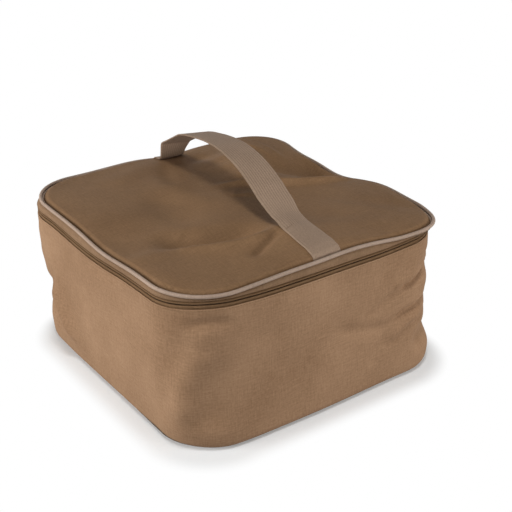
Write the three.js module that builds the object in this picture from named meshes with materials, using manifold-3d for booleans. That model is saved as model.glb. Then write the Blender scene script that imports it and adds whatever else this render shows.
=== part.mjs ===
// Square soft carry bag for screw-valve gas canisters: a padded cloth box with rounded corners,
// a lid that zips round three sides and folds on its back edge, and a webbing handle over the lid.
// Millimetres, +Z up, front at -Y, fold of the lid at +Y. The origin is the middle of the base,
// on the surface that the bag stands on. The handle runs along X.

import * as THREE from "three";
import { mergeVertices } from "three/addons/utils/BufferGeometryUtils.js";
import Module from "manifold-3d";

const wasm = await Module();
wasm.setup();

// Overall sizes
const bagWidth = 340; // along X
const bagDepth = 340; // along Y
const wallHeight = 154; // floor to the lower edge of the zip channel
const cornerRadius = 58; // upright corners, on the outside
const cornerSteps = 12;

// Sheets
const clothThickness = 0.9;
const foamThickness = 2.8;
const liningThickness = 0.6;
const boardThickness = 2;
const baseRoll = 9; // radius of the turn from wall to base
const rollSteps = 5;
const gap = 0.3; // between pieces that are sewn together

// Zip
const zipChannel = 8.4; // between the cloth edges
const tapeThickness = 0.5;
const tapeParting = 1.6; // between the two tapes, where the slider's neck runs
const tapeTuck = 7; // part of each tape sewn behind the cloth
const coilHeight = 2.2;
const coilDepth = 1.8;
const hingeWidth = 200; // unzipped stretch along the back
const tapeTail = 5; // end of each tape, tucked behind the back cloth

// Lid
const rimHeight = 6; // cloth showing between zip and piping
const seamAllowance = 8;
const pipingDiameter = 4.4;
const pipingInset = 0.8; // piping centre, in from the wall face
const pipingCloth = 0.6;
const pipingSides = 14;

// Handle
const webbingWidth = 33;
const webbingThickness = 1.8;
const rightSewn = 59; // lid edge to the stitch row, at the right end
const leftSewn = 13; // the same at the left end
const handleRise = 63; // lid to the top of the arch
const rightReach = 70; // how far in from its foot the arch is drawn towards the top, at the right
const leftReach = 48; // the same at the left
const leanHeight = 18; // lid to the axis that the arch leans on
const archSteps = 34;

// Zip sliders
const sliderLength = 12;
const sliderMeet = 0; // where the two noses meet, on the left side
const noseGap = 0.8;
const outerPlate = 1.6;
const innerPlate = 1.3;
const flangeThickness = 0.6;
const noseLength = 3; // neck that joins the plates
const bridgeSpan = 7.6;
const bridgeThickness = 0.9;
const bridgeWidth = 1.6;
const pullLength = 24;
const pullWidth = 5.6;
const pullThickness = 1;
const pullPin = 0.5; // radius

// Base seam
const bindingThickness = 2.2;
const bindingHeight = 6.5;

// Places that follow from the sizes, measured outwards from the wall face
const tapeOut = -clothThickness - gap;
const tapeIn = tapeOut - tapeThickness;
const coilOut = tapeIn - gap;
const coilIn = coilOut - coilDepth;
const foamOut = tapeIn - gap;
const foamIn = foamOut - foamThickness;
const liningOut = foamIn - gap;
const liningIn = liningOut - liningThickness;

const zipLevel = wallHeight + zipChannel / 2;
const rimBottom = wallHeight + zipChannel;
const rimTop = rimBottom + rimHeight;
const pipingRadius = pipingDiameter / 2;
const pipingLevel = rimTop + gap + pipingRadius;
const flangeTop = rimTop + gap + pipingCloth;
const lidUnder = flangeTop + gap;
const lidTop = lidUnder + clothThickness;
const lidEdge = -pipingInset - pipingRadius - gap;
const lidFoamTop = lidUnder - gap;
const lidFoamEdge = -seamAllowance - gap - pipingInset;

const materials = {
  cloth: new THREE.MeshStandardMaterial({ color: 0x8a6d50, roughness: 0.85, metalness: 0 }),
  lidCloth: new THREE.MeshStandardMaterial({ color: 0x7a6249, roughness: 0.7, metalness: 0 }),
  lining: new THREE.MeshStandardMaterial({ color: 0x4a4034, roughness: 0.8, metalness: 0 }),
  foam: new THREE.MeshStandardMaterial({ color: 0xd8d4cc, roughness: 0.95, metalness: 0 }),
  board: new THREE.MeshStandardMaterial({ color: 0x2c2c2c, roughness: 0.6, metalness: 0 }),
  piping: new THREE.MeshStandardMaterial({ color: 0xa08d7e, roughness: 0.8, metalness: 0 }),
  webbing: new THREE.MeshStandardMaterial({ color: 0x9c8a7b, roughness: 0.8, metalness: 0 }),
  tape: new THREE.MeshStandardMaterial({ color: 0x75604a, roughness: 0.85, metalness: 0 }),
  coil: new THREE.MeshStandardMaterial({ color: 0x4b3a2a, roughness: 0.5, metalness: 0 }),
  slider: new THREE.MeshStandardMaterial({ color: 0x4c4238, roughness: 0.4, metalness: 0.8 }),
};

const bag = new THREE.Group();

function addPiece(name, geometry, material, parent = bag) {
  const piece = new THREE.Mesh(geometry, material);
  piece.name = name;
  parent.add(piece);
  return piece;
}

// Turns the faces of an indexed geometry round if they point inwards.
function facingOut(geometry) {
  const p = geometry.attributes.position;
  const index = geometry.index.array;
  const [a, b, c] = [new THREE.Vector3(), new THREE.Vector3(), new THREE.Vector3()];
  let volume = 0;
  for (let i = 0; i < index.length; i += 3) {
    a.fromBufferAttribute(p, index[i]);
    b.fromBufferAttribute(p, index[i + 1]);
    c.fromBufferAttribute(p, index[i + 2]);
    volume += a.dot(b.cross(c));
  }
  if (volume < 0) {
    for (let i = 0; i < index.length; i += 3) {
      [index[i + 1], index[i + 2]] = [index[i + 2], index[i + 1]];
    }
  }
  return geometry;
}

// The bag's outline as a list of { x, y, nx, ny }, with the outward normal at each place.
// An open outline starts and ends on the back, at x = +endX and x = -endX.
function outline(endX) {
  const halfX = bagWidth / 2;
  const halfY = bagDepth / 2;
  const places = [];
  if (endX !== undefined) places.push({ x: endX, y: halfY, nx: 0, ny: 1 });
  const corners = [
    { cx: halfX - cornerRadius, cy: halfY - cornerRadius, from: Math.PI / 2 },
    { cx: halfX - cornerRadius, cy: -halfY + cornerRadius, from: 0 },
    { cx: -halfX + cornerRadius, cy: -halfY + cornerRadius, from: -Math.PI / 2 },
    { cx: -halfX + cornerRadius, cy: halfY - cornerRadius, from: -Math.PI },
  ];
  for (const { cx, cy, from } of corners) {
    for (let i = 0; i <= cornerSteps; i++) {
      const angle = from - (i / cornerSteps) * (Math.PI / 2);
      const nx = Math.cos(angle);
      const ny = Math.sin(angle);
      places.push({ x: cx + nx * cornerRadius, y: cy + ny * cornerRadius, nx, ny });
    }
  }
  if (endX !== undefined) places.push({ x: -endX, y: halfY, nx: 0, ny: 1 });
  return places;
}

// Carries a section, a list of [out, z] points, round an outline. A closed outline gives a ring,
// and an open one a band with its two ends capped.
function sweep(section, places, closed) {
  const rows = places.length;
  const count = section.length;
  const positions = [];
  for (const { x, y, nx, ny } of places) {
    for (const [out, z] of section) positions.push(x + nx * out, y + ny * out, z);
  }
  const index = [];
  const lastRow = closed ? rows : rows - 1;
  for (let i = 0; i < lastRow; i++) {
    const near = i * count;
    const far = ((i + 1) % rows) * count;
    for (let j = 0; j < count; j++) {
      const k = (j + 1) % count;
      index.push(near + j, far + j, far + k, near + j, far + k, near + k);
    }
  }
  if (!closed) {
    const flat = section.map(([out, z]) => new THREE.Vector2(out, z));
    const end = (rows - 1) * count;
    for (const [i, j, k] of THREE.ShapeUtils.triangulateShape(flat, [])) {
      const turned = THREE.ShapeUtils.isClockWise(flat);
      const [p, q] = turned ? [k, j] : [j, k];
      index.push(i, p, q, end + i, end + q, end + p);
    }
  }
  const geometry = new THREE.BufferGeometry();
  geometry.setAttribute("position", new THREE.Float32BufferAttribute(positions, 3));
  geometry.setIndex(index);
  return facingOut(geometry);
}

// A section as an upright strip between two depths and two levels.
function strip(outer, inner, low, high) {
  return [[outer, low], [outer, high], [inner, high], [inner, low]];
}

// A section run straight along X on the back of the bag.
function straightAcrossBack(section, halfLength) {
  const halfY = bagDepth / 2;
  const ends = [halfLength, -halfLength].map((x) => ({ x, y: halfY, nx: 0, ny: 1 }));
  return sweep(section, ends, false);
}

// A flat sheet with the bag's rounded outline, drawn in by edge (a negative number).
function sheet(edge, low, thickness) {
  const shape = new THREE.Shape(
    outline().map(({ x, y, nx, ny }) => new THREE.Vector2(x + nx * edge, y + ny * edge)),
  );
  const geometry = new THREE.ExtrudeGeometry(shape, { depth: thickness, bevelEnabled: false });
  return geometry.translate(0, 0, low);
}

function solidOf(geometry) {
  const bare = geometry.clone();
  bare.deleteAttribute("normal");
  bare.deleteAttribute("uv");
  const merged = mergeVertices(bare, 1e-4);
  return new wasm.Manifold(
    new wasm.Mesh({
      numProp: 3,
      vertProperties: merged.attributes.position.array,
      triVerts: new Uint32Array(merged.index.array),
    }),
  );
}

function geometryOf(solid) {
  const mesh = solid.getMesh();
  const geometry = new THREE.BufferGeometry();
  geometry.setAttribute("position", new THREE.BufferAttribute(mesh.vertProperties, 3));
  geometry.setIndex(new THREE.BufferAttribute(mesh.triVerts, 1));
  return geometry;
}

function block(low, high) {
  const size = high.map((value, i) => value - low[i]);
  const middle = high.map((value, i) => (value + low[i]) / 2);
  return new THREE.BoxGeometry(...size).translate(...middle);
}

// Wall cloth: upright, then a quarter turn under the bag to the base seam.
function wallSection(top) {
  const level = gap + baseRoll;
  const turn = (radius) => {
    const points = [];
    for (let i = 0; i <= rollSteps; i++) {
      const angle = (i / rollSteps) * (Math.PI / 2);
      points.push([-baseRoll + radius * Math.cos(angle), level - radius * Math.sin(angle)]);
    }
    return points;
  };
  const outside = [[0, top], ...turn(baseRoll)];
  const inside = [[-clothThickness, top], ...turn(baseRoll - clothThickness)];
  return [...outside, ...inside.reverse()];
}

function addBody() {
  const seamHalf = hingeWidth / 2;
  addPiece("wall_cloth", sweep(wallSection(wallHeight), outline(seamHalf), false), materials.cloth);
  addPiece(
    "back_cloth",
    straightAcrossBack(wallSection(zipLevel - gap / 2), seamHalf - gap),
    materials.cloth,
  );
  const baseEdge = -baseRoll - gap;
  const boardLevel = clothThickness + gap;
  const liningLevel = boardLevel + boardThickness + gap;
  const liningTop = liningLevel + liningThickness;
  addPiece("base_cloth", sheet(baseEdge, 0, clothThickness), materials.cloth);
  addPiece("base_board", sheet(baseEdge, boardLevel, boardThickness), materials.board);
  addPiece("base_lining", sheet(liningOut, liningLevel, liningThickness), materials.lining);
  const foamBottom = gap + baseRoll - foamThickness;
  const paddingTop = wallHeight - 1;
  addPiece(
    "wall_foam",
    sweep(strip(foamOut, foamIn, foamBottom, paddingTop), outline(), true),
    materials.foam,
  );
  addPiece(
    "wall_lining",
    sweep(strip(liningOut, liningIn, liningTop + gap, paddingTop), outline(), true),
    materials.lining,
  );
  const bindingOut = liningIn - gap;
  const bindingIn = bindingOut - bindingThickness;
  const bindingLow = liningTop + gap;
  const bindingHigh = bindingLow + bindingHeight;
  const bindingEase = bindingThickness / 3;
  addPiece(
    "base_seam_binding",
    sweep(
      [
        [bindingOut, bindingLow],
        [bindingOut, bindingHigh - bindingEase],
        [bindingOut - bindingEase, bindingHigh],
        [bindingIn + bindingEase, bindingHigh],
        [bindingIn, bindingHigh - bindingEase],
        [bindingIn, bindingLow],
      ],
      outline(),
      true,
    ),
    materials.piping,
  );
}

// One half of the zip: side is -1 below the parting and +1 above it.
function addZipHalf(side, name) {
  const inner = zipLevel + (side * tapeParting) / 2;
  const sewnEdge = zipLevel + side * (zipChannel / 2 + tapeTuck - (side > 0 ? rimHeight : 0));
  const tapeEnd = hingeWidth / 2 - tapeTail;
  const [low, high] = [Math.min(inner, sewnEdge), Math.max(inner, sewnEdge)];
  addPiece(
    "zip_tape_" + name,
    sweep(strip(tapeOut, tapeIn, low, high), outline(tapeEnd), false),
    materials.tape,
  );
  const coilEdge = inner + side * coilHeight;
  const ease = coilHeight / 4;
  addPiece(
    "zip_coil_" + name,
    sweep(
      [
        [coilOut, inner],
        [coilOut, coilEdge],
        [coilIn + ease, coilEdge],
        [coilIn, coilEdge - side * ease],
        [coilIn, inner + side * ease],
        [coilIn + ease, inner],
      ],
      outline(tapeEnd),
      false,
    ),
    materials.coil,
  );
}

// Lid rim cloth: upright, then turned in over the lid seam. bottom is its lower edge.
function rimSection(bottom) {
  const turnedIn = -seamAllowance - pipingInset;
  return [
    [0, bottom],
    [0, rimTop],
    [turnedIn, rimTop],
    [turnedIn, rimTop - clothThickness],
    [-clothThickness, rimTop - clothThickness],
    [-clothThickness, bottom],
  ];
}

// Piping cover: cloth wrapped round a filler cord, with both edges laid together into the seam.
function pipingSection() {
  const inside = pipingRadius - pipingCloth;
  const wrap = (radius, opening) => {
    const points = [];
    for (let i = 0; i <= pipingSides; i++) {
      const angle = -Math.PI + opening + (i / pipingSides) * (2 * Math.PI - 2 * opening);
      points.push([
        -pipingInset + radius * Math.cos(angle),
        pipingLevel + radius * Math.sin(angle),
      ]);
    }
    return points;
  };
  const slit = 0.22; // radians each side of the wrap's opening
  const flangeEnd = -pipingInset - seamAllowance;
  const outside = wrap(pipingRadius, slit).slice(2);
  const cover = [
    [flangeEnd, rimTop + gap],
    [-pipingInset - pipingRadius * 0.45, rimTop + gap],
    ...outside,
    ...wrap(inside, slit * 1.4).reverse(),
    [-pipingInset - pipingRadius * 0.86, flangeTop],
    [flangeEnd, flangeTop],
  ];
  return cover;
}

function pipingCordSection() {
  const radius = pipingRadius - pipingCloth - gap;
  const points = [];
  const sides = 8;
  for (let i = 0; i < sides; i++) {
    const angle = (i / sides) * 2 * Math.PI;
    points.push([
      -pipingInset + radius * Math.cos(angle),
      pipingLevel + radius * Math.sin(angle),
    ]);
  }
  return points;
}

function addLid() {
  const seamHalf = hingeWidth / 2;
  addPiece("lid_rim_cloth", sweep(rimSection(rimBottom), outline(seamHalf), false), materials.cloth);
  addPiece(
    "lid_fold_cloth",
    straightAcrossBack(rimSection(zipLevel + gap / 2), seamHalf - gap),
    materials.cloth,
  );
  addPiece("lid_cloth", sheet(lidEdge, lidUnder, clothThickness), materials.lidCloth);
  addPiece(
    "lid_foam",
    sheet(lidFoamEdge, lidFoamTop - foamThickness, foamThickness),
    materials.foam,
  );
  const lidLiningTop = lidFoamTop - foamThickness - gap;
  addPiece(
    "lid_lining",
    sheet(foamOut, lidLiningTop - liningThickness, liningThickness),
    materials.lining,
  );
  addPiece("lid_piping", sweep(pipingSection(), outline(), true), materials.piping);
  addPiece("lid_piping_cord", sweep(pipingCordSection(), outline(), true), materials.board);
}

// The handle's side view, as an outline in X and height above the lid: sewn flat at both ends,
// with an arch between that rises more steeply at the left.
function handleOutline() {
  const half = webbingThickness / 2;
  const rest = gap + half;
  const edge = bagWidth / 2 + lidEdge;
  const right = bagWidth / 2 - rightSewn;
  const left = -bagWidth / 2 + leftSewn;
  const control = rest + (handleRise - rest) / 0.75; // a cubic reaches three quarters of it
  const arch = new THREE.CubicBezierCurve(
    new THREE.Vector2(right, rest),
    new THREE.Vector2(right - rightReach, control),
    new THREE.Vector2(left + leftReach, control),
    new THREE.Vector2(left, rest),
  );
  const middle = [
    new THREE.Vector2(edge, rest),
    ...arch.getPoints(archSteps),
    new THREE.Vector2(-edge, rest),
  ];
  const sides = [[], []];
  middle.forEach((point, i) => {
    const before = middle[Math.max(i - 1, 0)];
    const after = middle[Math.min(i + 1, middle.length - 1)];
    const inward = point.clone().sub(i ? before : point).normalize();
    const onward = after.clone().sub(point).normalize();
    const along = inward.clone().add(onward).normalize();
    const normal = new THREE.Vector2(-along.y, along.x);
    const leading = i ? inward : onward;
    const miter = half / Math.max(0.5, normal.dot(new THREE.Vector2(-leading.y, leading.x)));
    sides[0].push(point.clone().addScaledVector(normal, miter));
    sides[1].push(point.clone().addScaledVector(normal, -miter));
  });
  return { middle, shape: new THREE.Shape([...sides[0], ...sides[1].reverse()]) };
}

// Where the arch's middle line crosses a height above the lid, from the right and from the left.
function crossings(middle, height) {
  const found = [];
  for (let i = 1; i < middle.length; i++) {
    const [a, b] = [middle[i - 1], middle[i]];
    if ((a.y - height) * (b.y - height) < 0) {
      found.push(a.x + ((height - a.y) / (b.y - a.y)) * (b.x - a.x));
    }
  }
  return found;
}

function addHandle() {
  const { middle, shape } = handleOutline();
  const webbing = new THREE.ExtrudeGeometry(shape, { depth: webbingWidth, bevelEnabled: false });
  webbing.rotateX(Math.PI / 2).translate(0, webbingWidth / 2, lidTop);
  const whole = solidOf(webbing);
  const [rightCut, leftCut] = crossings(middle, leanHeight);
  const reach = bagWidth;
  const cut = (from, to) => {
    const window = block([from, -webbingWidth, 0], [to, webbingWidth, lidTop + reach]);
    return geometryOf(whole.intersect(solidOf(window)));
  };
  addPiece("handle_end_right", cut(rightCut + gap / 2, reach), materials.webbing);
  addPiece("handle_strap", cut(leftCut + gap / 2, rightCut - gap / 2), materials.webbing);
  addPiece("handle_end_left", cut(-reach, leftCut - gap / 2), materials.webbing);
}

// A slider drawn with X outwards from the wall face, Y along the zip towards its nose, and Z up.
// Two plates hold the coils between them, joined by a neck that runs between the tapes. The inner
// plate's lower edge is turned up beside the lower coil. The upper edge is flat, so that the lid's
// coil lifts out where the slider stands.
const sliderHalf = zipChannel / 2 - gap;
const outerLow = tapeOut + gap;
const outerHigh = outerLow + outerPlate;
const innerHigh = coilIn - gap;
const innerLow = innerHigh - innerPlate;
const pinOut = outerHigh + pullPin + gap;
const bridgeUnder = pinOut + pullPin + gap;

function plate(from, thickness) {
  const back = -sliderLength / 2;
  const front = sliderLength / 2;
  const round = sliderHalf * 0.6;
  const shape = new THREE.Shape();
  shape.moveTo(back, -sliderHalf);
  shape.lineTo(front - round, -sliderHalf);
  shape.absarc(front - round, -sliderHalf + round, round, -Math.PI / 2, 0, false);
  shape.absarc(front - round, sliderHalf - round, round, 0, Math.PI / 2, false);
  shape.lineTo(back, sliderHalf);
  const geometry = new THREE.ExtrudeGeometry(shape, {
    depth: thickness,
    bevelEnabled: false,
    curveSegments: 4,
  });
  // The shape's X runs along the zip and its Y up: turn it to stand on the wall.
  geometry.rotateX(Math.PI / 2).rotateZ(Math.PI / 2);
  return geometry.translate(from, 0, 0);
}

function sliderGeometry(flangeSide) {
  const neckHalf = tapeParting / 2 - gap;
  const front = sliderLength / 2;
  const flangeMiddle = flangeSide * (sliderHalf - flangeThickness / 2);
  const bridgeHalf = bridgeSpan / 2;
  const bridgeTop = bridgeUnder + bridgeThickness;
  const bite = 0.2; // how far joined parts run into each other
  const parts = [
    block([innerLow, -front, -sliderHalf], [innerHigh, front - noseLength / 2, sliderHalf]),
    block([innerHigh - bite, front - noseLength, -neckHalf], [outerLow + bite, front - bite, neckHalf]),
    block([innerLow, front - noseLength, -neckHalf], [innerHigh, front - bite, neckHalf]),
    block(
      [innerHigh - bite, -front, flangeMiddle - flangeThickness / 2],
      [coilOut, front - noseLength, flangeMiddle + flangeThickness / 2],
    ),
    block(
      [bridgeUnder, -bridgeHalf, -bridgeWidth / 2],
      [bridgeTop, bridgeHalf, bridgeWidth / 2],
    ),
    block(
      [outerHigh - bite, -bridgeHalf, -bridgeWidth / 2],
      [bridgeTop, -bridgeHalf + bridgeThickness, bridgeWidth / 2],
    ),
    block(
      [outerHigh - bite, bridgeHalf - bridgeThickness, -bridgeWidth / 2],
      [bridgeTop, bridgeHalf, bridgeWidth / 2],
    ),
  ];
  const whole = parts.reduce(
    (made, part) => made.add(solidOf(part)),
    solidOf(plate(outerLow, outerPlate)),
  );
  return geometryOf(whole);
}

// The pull tab lies back over the closed zip. A round pin across its root turns under the bridge,
// a window clears the bridge, and the free end has a slot for a finger cord.
function pullGeometry() {
  const half = pullWidth / 2;
  const tipCentre = -pullLength + half;
  const windowHalf = bridgeWidth / 2 + gap * 1.5;
  const windowEnd = -Math.hypot(bridgeSpan / 2, bridgeUnder + bridgeThickness - pinOut) - gap * 2;
  const tab = new THREE.Shape();
  tab.moveTo(0, -half);
  tab.lineTo(tipCentre, -half);
  tab.absarc(tipCentre, 0, half, -Math.PI / 2, Math.PI / 2, true);
  tab.lineTo(0, half);
  const flat = new THREE.ExtrudeGeometry(tab, {
    depth: pullThickness,
    bevelEnabled: false,
    curveSegments: 6,
  });
  flat.rotateX(Math.PI / 2).rotateZ(Math.PI / 2).translate(-pullThickness / 2, 0, 0);
  const pin = new THREE.CylinderGeometry(pullPin, pullPin, pullWidth, 12).rotateX(Math.PI / 2);
  const window = block([-pullThickness, windowEnd, -windowHalf], [pullThickness, 1, windowHalf]);
  const slot = block(
    [-pullThickness, tipCentre - half * 0.3, -windowHalf],
    [pullThickness, tipCentre + half * 0.9, windowHalf],
  );
  const cut = solidOf(flat).subtract(solidOf(window)).subtract(solidOf(slot));
  return geometryOf(cut.add(solidOf(pin)));
}

function addSlider(name, facing) {
  // The left wall faces -X. A slider's nose points to the back (+Y) for facing 1, to the front for -1.
  const holder = new THREE.Group();
  const centre = sliderMeet - facing * ((sliderLength + noseGap) / 2);
  holder.position.set(-bagWidth / 2, centre, zipLevel);
  // Turned half round Z the nose points to the front. Turned over about X as well, it points to the
  // back, and the turned-up edge is drawn on the other side to stay below.
  holder.rotation.set(facing > 0 ? Math.PI : 0, 0, Math.PI, "ZXY");
  bag.add(holder);
  addPiece("zip_slider_" + name, sliderGeometry(facing), materials.slider, holder);
  const pull = addPiece("pull_tab_" + name, pullGeometry(), materials.slider, holder);
  pull.position.set(pinOut, 0, 0);
}

addBody();
addZipHalf(-1, "lower");
addZipHalf(1, "upper");
addLid();
addHandle();
addSlider("front", 1);
addSlider("rear", -1);

export default bag;
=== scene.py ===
import math

import bmesh
import bpy
import numpy as np
from mathutils import Matrix, Vector
from mathutils.bvhtree import BVHTree


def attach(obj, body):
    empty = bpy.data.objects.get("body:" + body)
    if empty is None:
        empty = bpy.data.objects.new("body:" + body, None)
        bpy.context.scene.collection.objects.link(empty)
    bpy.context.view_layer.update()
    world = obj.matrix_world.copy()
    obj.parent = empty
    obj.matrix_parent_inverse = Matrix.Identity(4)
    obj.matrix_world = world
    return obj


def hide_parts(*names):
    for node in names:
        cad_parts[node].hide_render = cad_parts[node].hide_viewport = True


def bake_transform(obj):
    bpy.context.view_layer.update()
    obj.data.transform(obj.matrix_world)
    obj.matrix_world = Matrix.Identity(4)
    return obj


# Square carry bag for gas canisters: soft padded walls, a zipped lid with piping, a webbing handle.
# Metres, +Z up, front at -Y, fold of the lid at +Y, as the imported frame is.
# Most pieces are drawn on the wall's own coordinates: s runs round the bag, clockwise from above,
# from the middle of the back; out is the distance outwards from the wall face; z is the level.

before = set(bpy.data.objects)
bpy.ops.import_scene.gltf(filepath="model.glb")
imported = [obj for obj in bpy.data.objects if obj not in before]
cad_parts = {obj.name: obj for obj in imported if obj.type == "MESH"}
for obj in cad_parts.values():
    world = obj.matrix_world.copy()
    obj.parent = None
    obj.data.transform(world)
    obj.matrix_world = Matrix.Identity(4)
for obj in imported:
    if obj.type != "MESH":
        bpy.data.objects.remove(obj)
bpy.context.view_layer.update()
print("frame loaded")


bag = {
    "half": .170,        # wall face from the middle
    "corner": .058,      # radius of the upright corners
    "roll": .009,        # turn from wall to base
    "cloth": .0009,
    "foot": .0003,       # underside of the walls' cloth
    "wallTop": .154,     # lower cloth edge of the zip
    "zip": .1582,        # parting of the tapes, and the lid's turning line
    "rimLow": .1624,     # upper cloth edge of the zip
    "rimTop": .1684,
    "piping": .1709,     # centre of the piping
    "lidTop": .1705,
    "hinge": .100,       # half of the stretch that isn't zipped
}
halfCloth = bag["cloth"] / 2
flat = bag["half"] - bag["corner"]
arc = bag["corner"] * math.pi / 2
lap = 8 * flat + 4 * arc
knotS = np.cumsum([0, flat, arc, 2 * flat, arc, 2 * flat, arc, 2 * flat, arc, flat])
knotX = flat * np.array([0, 1, 1, 1, 1, -1, -1, -1, -1, 0])
knotY = flat * np.array([1, 1, 1, -1, -1, -1, -1, 1, 1, 1])
knotTurn = math.pi / 2 * np.array([1, 1, 0, 0, -1, -1, -2, -2, -3, -3])
rightBack, nearCorner, leftFront, backLeft = lap * np.array([1, 3, 5, 7]) / 8


def smooth(low, high, value):
    t = np.clip((value - low) / (high - low), 0, 1)
    return t * t * (3 - 2 * t)


def outlineAt(s, out):     # point on the plain outline, and the outward direction there
    s = np.mod(s, lap)
    turn = np.interp(s, knotS, knotTurn)
    nx, ny = np.cos(turn), np.sin(turn)
    reach = bag["corner"] + out
    return np.interp(s, knotS, knotX) + reach * nx, np.interp(s, knotS, knotY) + reach * ny, nx, ny


def around(s, centre):     # signed distance along the outline, the short way round
    return np.mod(s - centre + lap / 2, lap) - lap / 2


# How the edge of the bag has moved: centre, spread, zip out, zip up, piping out, piping up
edgeMoves = [
    (-.010, .046, -.005, -.003, -.0100, -.0078),    # the back edge sags between the corners
    (-.088, .050, -.002, -.001, -.0085, -.0048),
    (.100, .036, .000, .000, -.0025, -.0020),
    (rightBack, .050, -.0064, .0015, -.0034, .0005),
    (.135, .024, .000, .000, .0000, -.0030),
    (.172, .020, .000, .000, .0018, -.0008),
    (.184, .026, .000, .000, .0022, .0000),
    (.215, .030, .000, .001, .0000, -.0022),
    (.292, .046, .000, .0008, .0005, .0042),
    (.365, .040, .000, .0005, .0000, .0018),
    (.452, .046, .000, .0042, .0005, .0000),
    (.612, .046, .000, -.0026, .0000, -.0050),
    (.665, .060, .000, -.0052, .0000, .0000),
    (leftFront, .050, .0045, .000, -.0004, .0010),
    (.836, .020, -.0016, .000, .0000, .0000),
    (.930, .060, .000, .000, .0005, .0022),
    (.962, .034, .000, .000, .0000, -.0042),
    (backLeft + .035, .050, .001, .001, .001, .001),
]
# How the foot of the wall stands on the floor: centre, spread, outward
footMoves = [
    (.165, .050, .0044), (.270, .070, .0028), (.350, .070, .0040), (.425, .050, .0022),
    (.525, .032, -.0030), (.575, .050, -.0026), (.650, .060, -.0018), (.740, .050, -.0010),
]
# How far the foot is rounded under: centre, spread, inward
footTucks = [
    (nearCorner, .040, .0040), (rightBack, .040, .0030), (leftFront, .050, .0025), (backLeft, .050, .0030),
]
# The levels between which each of these moves grows
sag = {
    "stands": (.002, .090), "tucked": (.001, .024),     # foot
    "low": (.003, .045), "high": (.138, .153),          # folds and swelling
    "outwards": (.02, .150), "lifted": (.04, .150),     # moves of the zip's edge
    "swell": .0012,      # how far the middle of a face swells
    "pucker": .00016, "puckerPitch": .0115, "puckerAt": .1500, "puckerSpread": .0055,     # by the seam
}


def edgeMove(s):     # zip out, zip up, piping out, piping up
    moved = np.zeros((4,) + np.shape(s))
    for centre, spread, *amounts in edgeMoves:
        bell = np.exp(-(around(s, centre) / spread) ** 2)
        for i, amount in enumerate(amounts):
            moved[i] += amount * bell
    return moved


def bells(s, moves):
    return sum(amount * np.exp(-(around(s, centre) / spread) ** 2) for centre, spread, amount in moves)


def footMove(s, z):
    stands = bells(s, footMoves) * (1 - smooth(*sag["stands"], z))
    return stands - bells(s, footTucks) * (1 - smooth(*sag["tucked"], z))


def stroke(a, b, line, rise, width, lean, wraps=True):
    # a fold along a line of (a, b) points: rise is its height, lean tips the two sides of it
    a = line[0][0] + around(a, line[0][0]) if wraps else a
    near = np.full(np.shape(a), 9.)
    side, along, total = np.zeros_like(near), np.zeros_like(near), 0
    for (a0, b0), (a1, b1) in zip(line[:-1], line[1:]):
        da, db = a1 - a0, b1 - b0
        length = math.hypot(da, db)
        t = np.clip(((a - a0) * da + (b - b0) * db) / length ** 2, 0, 1)
        pa, pb = a - a0 - t * da, b - b0 - t * db
        gap = np.hypot(pa, pb)
        closer = gap < near
        side = np.where(closer, (pb * da - pa * db) / length, side)
        along = np.where(closer, total + t * length, along)
        near = np.minimum(gap, near)
        total += length
    fade = .3 * total
    ends = smooth(0, fade, along) * smooth(0, fade, total - along)
    bell = np.exp(-(near / width) ** 2)
    return (rise + lean * side / width) * bell * ends


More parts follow.
